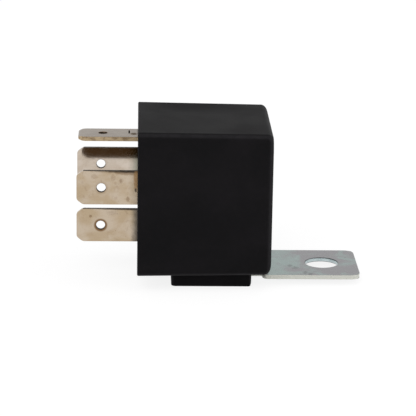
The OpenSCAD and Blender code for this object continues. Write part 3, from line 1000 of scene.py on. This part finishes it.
@dataclass
class Stamping:
    """A piece stamped from strip: its outline, its holes and its rolled-over edges."""

    thickness: float
    corners: Sequence[tuple[float, float]]
    rounds: dict[tuple[float, float], float]
    holes: Sequence[tuple[float, float, float]]
    edge: float = 0.16
    hole_edge: float = 0.06
    hole_steps: int = 40
    roll_finish: Side = Side.FLAT

    def outline(self, bm: BMesh) -> None:
        """Draws the outline and the holes and fills between them.

        Args:
            bm: The mesh.
        """
        verts = [bm.verts.new((x, y, 0)) for x, y in self.corners]
        ring = [bm.edges.new(pair) for pair in zip(verts, verts[1:] + verts[:1])]
        for x, y, radius in self.holes:
            hole = bmesh.ops.create_circle(bm, cap_ends=False, segments=self.hole_steps,
                                           radius=radius, matrix=Matrix.Translation((x, y, 0)))
            ring += list({e for v in hole["verts"] for e in v.link_edges})
        bmesh.ops.triangle_fill(bm, use_beauty=True, use_dissolve=False, edges=ring)
        merge_flat(bm)
        for (x, y), radius in self.rounds.items():
            corner = [v for v in bm.verts if (v.co - Vector((x, y, 0))).length < WELD]
            bmesh.ops.bevel(bm, geom=corner, offset=radius, offset_type="OFFSET", affect="VERTICES",
                            segments=6, profile=0.5, material=-1)

    def build(self, bm: BMesh) -> None:
        """Draws the outline, thickens it and gives its flat and cut faces their material numbers.

        Args:
            bm: An empty mesh.
        """
        self.outline(bm)
        grown = bmesh.ops.extrude_face_region(bm, geom=list(bm.faces), use_keep_orig=True)["geom"]
        raised = [g for g in grown if isinstance(g, BMVert)]
        bmesh.ops.translate(bm, vec=(0, 0, self.thickness), verts=raised)
        bmesh.ops.translate(bm, vec=(0, 0, -self.thickness / 2), verts=bm.verts)
        bmesh.ops.recalc_face_normals(bm, faces=bm.faces)
        for face in bm.faces:
            face.material_index = Side.SHEARED if abs(face.normal.z) < 0.5 else Side.FLAT

    def roll_edges(self, bm: BMesh) -> None:
        """Rounds the edges between the flat faces and the cut ones.

        Args:
            bm: The mesh.
        """
        rims = [e for e in bm.edges if len({f.material_index for f in e.link_faces}) == 2]
        round_hole = [e for e in rims if any(self.in_hole(v.co, SLACK) for v in e.verts)]
        for edges, width in ((round_hole, self.hole_edge), (set(rims) - set(round_hole), self.edge)):
            for face in soften(bm, edges, width, 3):
                face.material_index = self.roll_finish

    def in_hole(self, place: Vector, slack: float) -> bool:
        """Tells whether a point lies in a hole or within a slack of its wall."""
        return any(math.hypot(place.x - x, place.y - y) < radius + slack
                   for x, y, radius in self.holes)


@dataclass
class Blade:
    """A flat plug blade with its clipped, thinned tip, its detent hole and what is behind it."""

    node: str
    mount: str
    finish: TarnishedBlade
    sheared: ShearedEdge
    hole_wall: ShearedEdge
    behind: Sequence[tuple[float, float]]
    upright: bool = True
    folds: Sequence[Fold] = ()
    holes: Sequence[tuple[float, float, float]] = ()
    width: float = 6.3
    thickness: float = 0.8
    tip_cut: tuple[float, float] = (1.15, 0.85)
    tip_round: float = 0.35
    lead_in: float = 0.6
    tip_share: float = 0.55
    hole_from_tip: float = 4.5
    hole_radius: float = 0.84
    root: float = 3.2
    groove: tuple[float, float, float, float] | None = None
    groove_depth: float = 0.4

    @property
    def tip(self) -> float:
        """Where the blade's tip lies."""
        return Box.of(self.node).low.x

    def place(self) -> Matrix:
        """Turns and moves the flat strip to its mount.

        Returns:
            The matrix from the strip's own axes to the part's, in millimetres.
        """
        centre = mount_place(self.mount)
        turn = Matrix.Rotation(math.radians(90 if self.upright else 0), 4, "X")
        return Matrix.Translation((0, centre.y, centre.z)) @ turn

    def thin_tip(self, bm: BMesh) -> None:
        """Thins the blade towards its tip.

        Args:
            bm: The mesh.
        """
        start = self.tip + self.lead_in
        cut_across(bm, start)
        for vert in bm.verts:
            into = max(start - vert.co.x, 0) / self.lead_in
            vert.co.z *= 1 - into * (1 - self.tip_share)

    def in_groove(self, place: Vector) -> bool:
        """Tells whether a point lies in the groove.

        Args:
            place: The point, on the strip's own axes.

        Returns:
            Whether it does.
        """
        if not self.groove:
            return False
        x0, x1, y0, y1 = self.groove
        inside = x0 - SLACK < place.x < x1 + SLACK and y0 - SLACK < place.y < y1 + SLACK
        return inside and 0 <= place.z < self.thickness / 2 - SLACK

    def press_groove(self, bm: BMesh) -> None:
        """Presses the groove behind the retaining barb into the upper face.

        Args:
            bm: The mesh.
        """
        x0, x1, y0, y1 = self.groove
        cut_across(bm, x0)
        cut_across(bm, x1)
        for y in (y0, y1):
            band = [f for f in bm.faces if f.normal.z > 0.9 and x0 < f.calc_center_median().x < x1]
            geom = [*band, *{e for f in band for e in f.edges}, *{v for f in band for v in f.verts}]
            bmesh.ops.bisect_plane(bm, geom=geom, dist=WELD, plane_co=(0, y, 0), plane_no=(0, 1, 0))
        middle = Vector(((x0 + x1) / 2, (y0 + y1) / 2, self.thickness / 2))
        sunk = min((f for f in bm.faces if f.normal.z > 0.9),
                   key=lambda f: (f.calc_center_median() - middle).length)
        drawn_out(bm, sunk, 2, self.thickness / 2 - self.groove_depth)

    def build(self) -> None:
        """Builds the terminal."""
        half = self.width / 2
        cut_x, cut_y = self.tip + self.tip_cut[0], half - self.tip_cut[1]
        clipped = [(cut_x, -half), (self.tip, -cut_y), (self.tip, cut_y), (cut_x, half)]
        corners = [*((x, -y) for x, y in reversed(self.behind)), (self.root, -half), *clipped,
                   (self.root, half), *self.behind]
        strip = Stamping(self.thickness, corners, {corner: self.tip_round for corner in clipped},
                         [(self.tip + self.hole_from_tip, 0, self.hole_radius), *self.holes],
                         roll_finish=Side.SHEARED if self.upright else Side.FLAT)
        bm = bmesh.new()
        strip.build(bm)
        self.thin_tip(bm)
        if self.groove:
            self.press_groove(bm)
        strip.roll_edges(bm)
        for face in bm.faces:
            middle = face.calc_center_median()
            walled = face.material_index == Side.SHEARED and strip.in_hole(middle, 0)
            if walled or self.in_groove(middle):
                face.material_index = Side.HOLE
            elif middle.x < cut_x and self.upright:
                face.material_index = Side.FLAT
        for fold in self.folds:
            fold.apply(bm)
        finish_piece(bm, self.node + "_strip", Body.HOUSING, [self.node],
                     [self.finish.make(), self.sheared.make(), self.hole_wall.make()], self.place())


@dataclass
class Terminals:
    """The four blades, each with its own tarnish and painted shade."""

    base_back: float = 3.2
    post_end: float = 8.4
    post_width: float = 1.6
    arm_width: float = 5
    foot: Fold = Fold(start=2.8, angle=90)
    foot_length: float = 9.2
    shelf: Fold = Fold(start=17.54, angle=-90)
    shelf_length: float = 2.3
    rivet_from_bend: float = 0.9
    rivet_radius: float = 0.81
    barb_groove: tuple[float, float, float, float] = (-1.5, -1.22, -0.45, 2.8)
    # Painted shade over the oxide: the upright blades' cut edges face up and down and get a near-black brown,
    # while the same brass cut edge, lit from the front, is the golden contact edge below.
    coil_edge: ShearedEdge = ShearedEdge("cut_edge_dark", (0.05, 0.036, 0.022), (0.02, 0.014, 0.01))
    contact_edge: ShearedEdge = ShearedEdge(
        "cut_edge_golden", (0.42, 0.32, 0.195), (0.13, 0.075, 0.035), oxide=0.7)
    hole_wall: ShearedEdge = ShearedEdge("punched_wall", (0.05, 0.036, 0.022), (0.015, 0.01, 0.008))
    # dark: colour of the painted-shade streaks along the upper edges of blades 85 and 30, and of one small dark
    # spot on 85.
    dark: Colour = (0.03, 0.022, 0.014)
    rust: Colour = (0.36, 0.2, 0.07)
    soot: Colour = (0.09, 0.055, 0.022)
    amber: Colour = (0.16, 0.10, 0.055)

    def coil_blade(self, number: int, looks: TarnishedBlade) -> Blade:
        """Blade of a coil terminal with its post behind the base.

        Args:
            number: The terminal's number.
            looks: Its tarnish.

        Returns:
            The blade.
        """
        half = self.post_width / 2
        return Blade(f"terminal_{number}", f"blade_{number}", looks, self.coil_edge,
                     self.hole_wall, [(self.base_back, half), (self.post_end, half)])

    def tarnish(self, number: int, **looks: object) -> TarnishedBlade:
        """Tarnish that follows one blade's hole.

        Args:
            number: The terminal's number.
            **looks: The finish's other fields.

        Returns:
            The finish.
        """
        hole = mount_place(f"blade_{number}")
        hole.x = Box.of(f"terminal_{number}").low.x + Blade.hole_from_tip
        return TarnishedBlade(f"blade_{number}_tin", tuple(hole), **looks)

    def near_coil_looks(self) -> TarnishedBlade:
        """Tarnish of the near coil blade.

        Returns:
            The finish, with many small stains, painted shade on its far face and a dark streak of painted shade
            along its upper edge.
        """
        # Painted shade: the far face is made nearly black.
        return self.tarnish(85, blotches=0.3, ring=0.2, root=0.3, seed=2, back_share=0.97, stains=(
            Stain((0.5, 5.2), (5.5, 0.55), 0.5),
            # Painted shade: a dark streak along the upper edge, for the dim light from above.
            Stain((1.5, 5.65), (11, 0.62), 0.97, self.dark, 0.2),
            Stain((-2.8, 3.6), (0.35, 0.6), 0.4),
            Stain((-1.5, 0.15), (0.3, 0.55), 0.4),
            Stain((0.0, 3.7), (0.55, 2.2), 0.75, self.rust),
            Stain((-0.1, 1.9), (0.22, 0.45), 0.8, self.dark),
            Stain((-7.6, 4.4), (0.7, 0.6), 0.22),
            Stain((-4.2, 4.2), (0.5, 0.7), 0.22)))

    def far_coil_looks(self) -> TarnishedBlade:
        """Tarnish of the far coil blade.

        Returns:
            The finish, paler and smoother than on the other blades, with a greenish grey painted shade at its
            root.
        """
        return self.tarnish(86, blotches=0.12, ring=0.1, root=0.8, seed=5,
                            bright=(0.58, 0.505, 0.43), colour=(0.50, 0.42, 0.34),
                            root_colour=(0.24, 0.24, 0.19), roughness=0.08, wear=0.01)

    def input_looks(self) -> TarnishedBlade:
        """Tarnish of the load input blade.

        Returns:
            The finish, with a brown ring round the hole, painted shade at its root and a dark streak of painted
            shade along its upper edge.
        """
        return self.tarnish(30, blotches=0.2, ring=0.9, root=0.8, root_reach=1.3, seed=1, stains=(
            Stain((-8.5, -5.6), (0.3, 0.28), 0.45),
            Stain((-4.4, -4.9), (1.2, 0.5), 0.15),
            # Painted shade: a dark streak along the upper edge, for the dim light from above.
            Stain((1.5, -4.0), (11, 0.42), 0.95, self.dark, 0.2)))

    def output_looks(self) -> TarnishedBlade:
        """Tarnish of the flat load output blade.

        Returns:
            The finish, with a brown line along the near edge; its tin is much darker and greyer than on the other
            blades, painted shade for the dim light that its upward faces reflect.
        """
        # Painted shade: the bright and colour values here are far darker than the same tin on the other blades.
        return self.tarnish(87, flat=True, blotches=0.12, ring=0.35, root=0.15, seed=3,
                            bright=(0.18, 0.14, 0.098), colour=(0.137, 0.097, 0.06), stains=(
                                Stain((-0.55, -0.8), (0.75, 0.95), 0.95, self.soot),
                                Stain((-4.5, -3.15), (8, 0.28), 0.6, self.amber)))

    def build(self) -> None:
        """Builds the four terminals."""
        half, arm = Blade.width / 2, self.arm_width / 2
        self.coil_blade(85, self.near_coil_looks()).build()
        self.coil_blade(86, self.far_coil_looks()).build()
        foot_end = self.foot.start + self.foot.length + self.foot_length
        Blade("terminal_30", "blade_30", self.input_looks(), self.coil_edge, self.hole_wall,
              [(foot_end, half)], folds=[self.foot]).build()
        shelf = self.shelf.start + self.shelf.length
        Blade("terminal_87", "blade_87", self.output_looks(), self.contact_edge, self.hole_wall,
              [(self.base_back, arm), (shelf + self.shelf_length, arm)],
              upright=False, folds=[self.shelf],
              holes=[(shelf + self.rivet_from_bend, 0, self.rivet_radius)],
              groove=self.barb_groove).build()


@dataclass
class Bracket:
    """Flat steel bracket: a broad tab with its screw hole and a tongue held in the pocket."""

    shoulder_x: float = 23.45
    tongue_width: float = 12
    tab_round: float = 1.8
    shoulder_round: float = 1.2
    hole_radius: float = 3.1
    hole_edge: float = 0.12
    hole_steps: int = 72
    box: Box = field(default_factory=lambda: Box.of("bracket"))
    hole: Vector = field(default_factory=lambda: mount_place("bracket_hole"))
    zinc: ZincPlate = ZincPlate("zinc_plate")
    sheared: ShearedEdge = ShearedEdge("zinc_cut_edge", (0.505, 0.51, 0.458), (0.36, 0.39, 0.37),
                                       metallic=0.4, roughness=0.35, oxide=0.12, relief=0.0005)
    hole_wall: ShearedEdge = ShearedEdge("zinc_hole_wall", (0.50, 0.58, 0.59), (0.22, 0.28, 0.30),
                                         metallic=0.95, roughness=0.2, oxide=0.4, relief=0.003)

    def build(self) -> None:
        """Builds the bracket."""
        low, high = self.box.low, self.box.high
        half = self.tongue_width / 2
        shoulder = [(self.shoulder_x, low.y), (self.shoulder_x, high.y)]
        end = [(high.x, low.y), (high.x, high.y)]
        corners = [(low.x, -half), (self.shoulder_x, -half), shoulder[0], *end, shoulder[1],
                   (self.shoulder_x, half), (low.x, half)]
        rounds = {**dict.fromkeys(shoulder, self.shoulder_round),
                  **dict.fromkeys(end, self.tab_round)}
        plate = Stamping(self.box.size.z, corners, rounds,
                         [(self.hole.x, self.hole.y, self.hole_radius)],
                         hole_edge=self.hole_edge, hole_steps=self.hole_steps)
        bm = bmesh.new()
        plate.build(bm)
        plate.roll_edges(bm)
        for face in bm.faces:
            if face.material_index == Side.SHEARED and plate.in_hole(face.calc_center_median(), 0):
                face.material_index = Side.HOLE
        finish_piece(bm, "bracket_plate", Body.HOUSING, ["bracket"],
                     [self.zinc.make(), self.sheared.make(), self.hole_wall.make()],
                     Matrix.Translation((0, 0, self.box.middle.z)))


# ---------- magnet ----------


@dataclass
class Magnet:
    """The coil and its iron, seen only with the cover off, with its spring and its braid."""

    turns: int = 58
    wire_rise: float = 0.07
    core_clear: float = 4.2
    around: int = 48
    pivot: Vector = field(default_factory=lambda: Vector(frame["joints"][0]["pos_m"]) / MM)
    open_angle: float = 3.1
    armature_thickness: float = 1.2
    spring_z: float = -11.0
    spring_radius: float = 0.75
    spring_start: float = 10.2
    spring_coils: int = 9
    spring_steps: int = 24
    spring_wire: float = 0.17
    strands: int = 7
    strand_radius: float = 0.2
    strand_spread: float = 0.36
    strand_twist: float = 0.55
    route_steps: int = 16
    coil: Box = field(default_factory=lambda: Box.of("winding"))

    def opened(self, x: float, y: float, z: float) -> Vector:
        """Where a point of the closed armature lies when it is open."""
        turn = Matrix.Rotation(math.radians(self.open_angle), 3, "Y")
        return self.pivot + turn @ (Vector((x, y, z)) - self.pivot)

    def build_winding(self) -> None:
        """Spins the winding from a profile with one ridge for each turn of its outer layer."""
        bm = bmesh.new()
        outer = self.coil.high.y - self.wire_rise
        profile = [(self.coil.low.x, self.core_clear)]
        steps = 4 * self.turns
        for i in range(steps + 1):
            wave = abs(math.sin(math.pi * self.turns * i / steps))
            profile.append((self.coil.low.x + self.coil.size.x * i / steps,
                            outer + self.wire_rise * wave))
        profile.append((self.coil.high.x, self.core_clear))
        verts = [bm.verts.new((x, 0, r)) for x, r in profile]
        line = [bm.edges.new(pair) for pair in zip(verts, verts[1:] + verts[:1])]
        bmesh.ops.spin(bm, geom=verts + line, cent=(0, 0, 0), axis=(1, 0, 0), steps=self.around,
                       angle=math.tau, use_merge=True, use_normal_flip=False, use_duplicate=False)
        finish_piece(bm, "wound_wire", Body.HOUSING, ["winding"],
                     [EnamelledWire("wound_enamel").make()],
                     Matrix.Translation((0, 0, self.coil.middle.z)))

    def build_spring(self) -> None:
        """Winds the return spring between the yoke's lug and the armature's tail."""
        z, radius, steps = self.spring_z, self.spring_radius, self.spring_steps
        total = self.spring_coils * steps
        tail = self.opened(self.pivot.x + self.armature_thickness, 0, z)
        x0, x1 = self.spring_start, tail.x - 2.1
        hook_back = Vector((x1 + 0.55, 0, tail.z))
        line = [(8.15, 0.9, z), (8.15, 0.3, z), (8.4, 0, z), (9.7, 0, z)]
        for i in range(total + 1):
            share, turn = i / total, math.tau * i / steps
            line.append((x0 + (x1 - x0) * share, radius * math.sin(turn),
                         z + (tail.z - z) * share + radius * math.cos(turn)))
        line += [tuple(hook_back), (tail.x + 0.2, 0, tail.z), (tail.x + 0.45, 0.3, tail.z),
                 (tail.x + 0.45, 0.9, tail.z)]
        steel = RolledMetal("spring_steel_wire", (0.5, 0.5, 0.5), (0.36, 0.36, 0.37), 0.22)
        finish_piece(swept("spring_path", [line], self.spring_wire), "spring_wire", Body.HOUSING,
                     ["return_spring"], [steel.make()],
                     stretch=(Vector(line[3]), hook_back))

    def build_braid(self) -> None:
        """Twists the copper braid that joins the input terminal's foot to the contact leaf."""
        leaf_x = self.pivot.x + self.armature_thickness
        knots = [Vector(p) for p in ((4, -9.1, -7.5), (4.8, -9.1, -7.5), (7, -9.3, -7.2),
                                     (10.5, -10.1, -5.8), (14.2, -10.5, -3.2), (17.4, -10, 0.2))]
        knots += [self.opened(leaf_x - 0.8, -7.9, 3.4), self.opened(leaf_x - 0.02, -7.9, 3.4)]
        route = smooth_route(knots, self.route_steps)
        strands = [twisted(route, self.strand_spread, self.strand_twist, i / self.strands)
                   for i in range(self.strands)]
        copper = RolledMetal("bare_copper_strand", (0.72, 0.36, 0.2), (0.5, 0.22, 0.11), 0.3)
        finish_piece(swept("braid_path", [route, *strands], self.strand_radius), "copper_braid",
                     Body.HOUSING, ["braid"], [copper.make()],
                     stretch=(knots[1], knots[-2]))

    def build(self) -> None:
        """Builds the winding, the spring and the braid, and dresses the iron and the contacts."""
        self.build_winding()
        self.build_spring()
        self.build_braid()
        iron = RolledMetal("nickelled_iron", (0.5, 0.48, 0.44), (0.38, 0.36, 0.33), 0.3).make()
        for node in ("yoke", "core", "armature", "armature_rivets", "back_stop"):
            dress_node(node, iron)
        silver = RolledMetal("contact_silver_alloy", (0.75, 0.73, 0.69), (0.55, 0.53, 0.5),
                             0.28, marks=(1, 1, 1)).make()
        for node in ("fixed_contact", "moving_contact"):
            dress_node(node, silver)
        bronze = RolledMetal("leaf_bronze", (0.68, 0.44, 0.2), (0.5, 0.31, 0.13), 0.22).make()
        dress_node("contact_leaf", bronze, edge=0.03)
        dress_node("bobbin", NaturalNylon("bobbin_nylon").make())
        enamel = EnamelledWire("lead_enamel").make()
        for node in ("coil_lead_a", "coil_lead_b"):
            dress_node(node, enamel, edge=0)


# ---------- studio ----------


@dataclass(frozen=True)
class Studio:
    """Pale floor, plain soft light, white surroundings and the camera."""

    camera_place: tuple[float, float, float] = (0.311, -376.711, 105.699)
    yaw: float = 1.994
    elevation: float = 16.219
    roll: float = 0.939
    lens: float = 181.83
    sensor: float = 36
    clip_end: float = 20
    floor_radius: float = 3000
    floor_gap: float = 0.02
    floor_steps: int = 96
    floor_colour: Colour = (0.9, 0.9, 0.9)
    floor_glow: float = 0.82
    glow_strength: float = 1.04
    key_place: tuple[float, float, float] = (-260, -520, 420)
    key_size: float = 620
    key_power: float = 2.6
    fill_place: tuple[float, float, float] = (560, -90, 70)
    fill_power: float = 2.4
    room_levels: Sequence[tuple[float, float]] = ((0.0, 0.75), (1.0, 0.1), (0.35, 0.5))
    room_tint: Colour = (1, 0.965, 1.015)

    def build_camera(self) -> None:
        """Places the camera."""
        yaw, lift, roll = (math.radians(a) for a in (self.yaw, self.elevation, self.roll))
        turn = (Matrix.Rotation(-yaw, 4, "Z") @ Matrix.Rotation(math.pi / 2 - lift, 4, "X")
                @ Matrix.Rotation(roll, 4, "Z"))
        data = bpy.data.cameras.new("camera")
        data.sensor_width, data.lens = self.sensor, self.lens
        data.clip_end = self.clip_end
        camera = bpy.data.objects.new("camera", data)
        camera.matrix_world = Matrix.Translation(Vector(self.camera_place) * MM) @ turn
        bpy.context.scene.collection.objects.link(camera)
        bpy.context.scene.camera = camera

    def seen(self, tree: bpy.types.NodeTree) -> bpy.types.NodeSocket:
        """Tells rays that show the background apart from those that light the relay.

        Args:
            tree: The node tree.

        Returns:
            A socket of 1 for camera, glossy and transmission rays, and 0 for the rest.
        """
        path = tree.nodes.new("ShaderNodeLightPath")
        seen = path.outputs["Is Camera Ray"]
        for kind in ("Is Glossy Ray", "Is Transmission Ray"):
            either = tree.nodes.new("ShaderNodeMath")
            either.operation = "MAXIMUM"
            tree.links.new(seen, either.inputs[0])
            tree.links.new(path.outputs[kind], either.inputs[1])
            seen = either.outputs[0]
        return seen

    def build_floor(self) -> None:
        """Lays the pale floor that the relay's pocket stands on."""
        bm = bmesh.new()
        level = CAD_BOX[0].z - self.floor_gap * MM
        bmesh.ops.create_circle(bm, cap_ends=True, segments=self.floor_steps,
                                radius=self.floor_radius * MM,
                                matrix=Matrix.Translation((0, 0, level)))
        mesh = bpy.data.meshes.new("studio_floor")
        bm.to_mesh(mesh)
        bm.free()
        material = bpy.data.materials.new("studio_paper")
        material.use_nodes = True
        nodes, links = material.node_tree.nodes, material.node_tree.links
        nodes.clear()
        paper = nodes.new("ShaderNodeBsdfDiffuse")
        paper.inputs["Color"].default_value = (*self.floor_colour, 1)
        glow = nodes.new("ShaderNodeEmission")
        glow.inputs["Strength"].default_value = self.glow_strength
        both = nodes.new("ShaderNodeMixShader")
        share = nodes.new("ShaderNodeMath")
        share.operation = "MULTIPLY"
        share.inputs[1].default_value = self.floor_glow
        links.new(self.seen(material.node_tree), share.inputs[0])
        links.new(share.outputs[0], both.inputs[0])
        out = nodes.new("ShaderNodeOutputMaterial")
        links.new(paper.outputs[0], both.inputs[1])
        links.new(glow.outputs[0], both.inputs[2])
        links.new(both.outputs[0], out.inputs["Surface"])
        mesh.materials.append(material)
        floor = bpy.data.objects.new("studio_floor", mesh)
        bpy.context.scene.collection.objects.link(floor)

    def build_light(self, name: str, place: Sequence[float], size: float, power: float) -> None:
        """Adds a square soft light aimed at the relay.

        Args:
            name: Its name.
            place: Its place in millimetres.
            size: Length of its side.
            power: Its power in watts.
        """
        data = bpy.data.lights.new(name, "AREA")
        data.shape = "SQUARE"
        data.size, data.energy = size * MM, power
        light = bpy.data.objects.new(name, data)
        centre = (CAD_BOX[0] + CAD_BOX[1]) / 2
        where = Vector(place) * MM
        aim = (centre - where).to_track_quat("-Z", "Y").to_matrix().to_4x4()
        light.matrix_world = Matrix.Translation(where) @ aim
        bpy.context.scene.collection.objects.link(light)

    def build_world(self) -> None:
        """Surrounds the relay with white, also in reflections, and lights it from a plain room."""
        world = bpy.data.worlds.new("studio_room")
        world.use_nodes = True
        nodes, links = world.node_tree.nodes, world.node_tree.links
        nodes.clear()
        place = nodes.new("ShaderNodeTexCoord")
        split = nodes.new("ShaderNodeSeparateXYZ")
        ramp = nodes.new("ShaderNodeValToRGB")
        stops = [*ramp.color_ramp.elements, ramp.color_ramp.elements.new(0.5)]
        for stop, (position, level) in zip(stops, self.room_levels):
            stop.position = position
            stop.color = (*(level * share for share in self.room_tint), 1)
        room = nodes.new("ShaderNodeBackground")
        white = nodes.new("ShaderNodeBackground")
        pick = nodes.new("ShaderNodeMixShader")
        out = nodes.new("ShaderNodeOutputWorld")
        links.new(place.outputs["Generated"], split.inputs[0])
        links.new(split.outputs["Z"], ramp.inputs[0])
        links.new(ramp.outputs[0], room.inputs["Color"])
        white.inputs["Color"].default_value = (1, 1, 1, 1)
        links.new(self.seen(world.node_tree), pick.inputs[0])
        links.new(room.outputs[0], pick.inputs[1])
        links.new(white.outputs[0], pick.inputs[2])
        links.new(pick.outputs[0], out.inputs["Surface"])
        bpy.context.scene.world = world

    def build(self) -> None:
        """Sets up the floor, the lights, the surroundings, the camera and the plain view."""
        self.build_camera()
        self.build_floor()
        self.build_world()
        self.build_light("key", self.key_place, self.key_size, self.key_power)
        self.build_light("fill", self.fill_place, self.key_size, self.fill_power)
        bpy.context.scene.view_settings.view_transform = "Standard"


def main() -> None:
    """Builds the relay's sub-assemblies in order and sets up the studio."""
    logging.basicConfig(level=logging.INFO, format="%(name)s: %(message)s")
    Cover().build()
    Base().build()
    Terminals().build()
    Bracket().build()
    Magnet().build()
    Studio().build()


if __name__ == "__main__":
    main()
